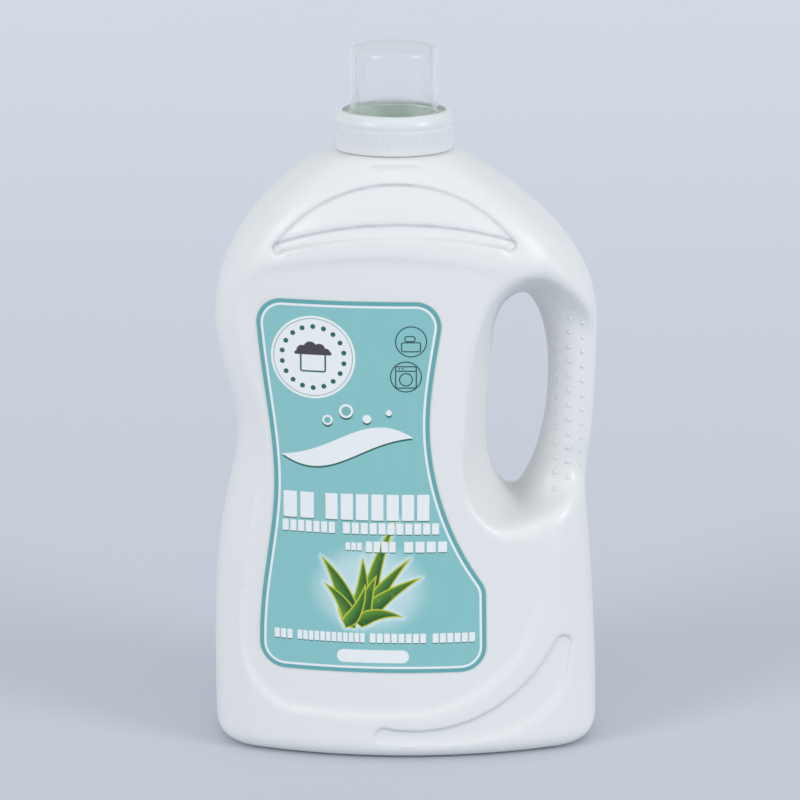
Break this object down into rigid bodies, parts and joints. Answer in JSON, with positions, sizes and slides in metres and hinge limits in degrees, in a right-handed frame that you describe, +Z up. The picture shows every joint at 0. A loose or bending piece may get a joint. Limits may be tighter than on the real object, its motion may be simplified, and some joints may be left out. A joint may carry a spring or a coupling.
{
  "type": "laundry detergent bottle",
  "caption": "White plastic laundry detergent bottle with a built-in side handle, a clear screw-on dosing cap and film labels on the front and back.",
  "frame": {"origin": "on the floor under the middle of the bottle's overall box", "axes": "+Z up, the front label faces -Y, the handle is at +X"},
  "size_m": [0.1825, 0.102, 0.33],
  "materials": {
    "bottle_plastic": "fine matt blown polyethylene",
    "clear_cap": "clear polypropylene",
    "seal_foam": "pale foamed sheet",
    "label_film": "printed satin film"
  },
  "bodies": {
    "bottle": {"bottle": "bottle_plastic", "front_label": "label_film", "back_label": "label_film"},
    "seal": {"seal_ring": "seal_foam"},
    "cap": {"dosing_cap": "clear_cap"}
  },
  "joints": [
    {"name": "cap_lift", "type": "slide", "parent": "bottle", "child": "seal", "axis": [0, 0, 1], "range_m": [0, 0.0151]},
    {"name": "cap_turn", "type": "hinge", "parent": "seal", "child": "cap", "pos_m": [-0.0057, 0, 0.3], "axis": [0, 0, 1], "range_deg": [0, 900]}
  ],
  "couplings": [
    {"joint": "cap_lift", "follows": "cap_turn", "m_per_rad": 0.00095493}
  ]
}
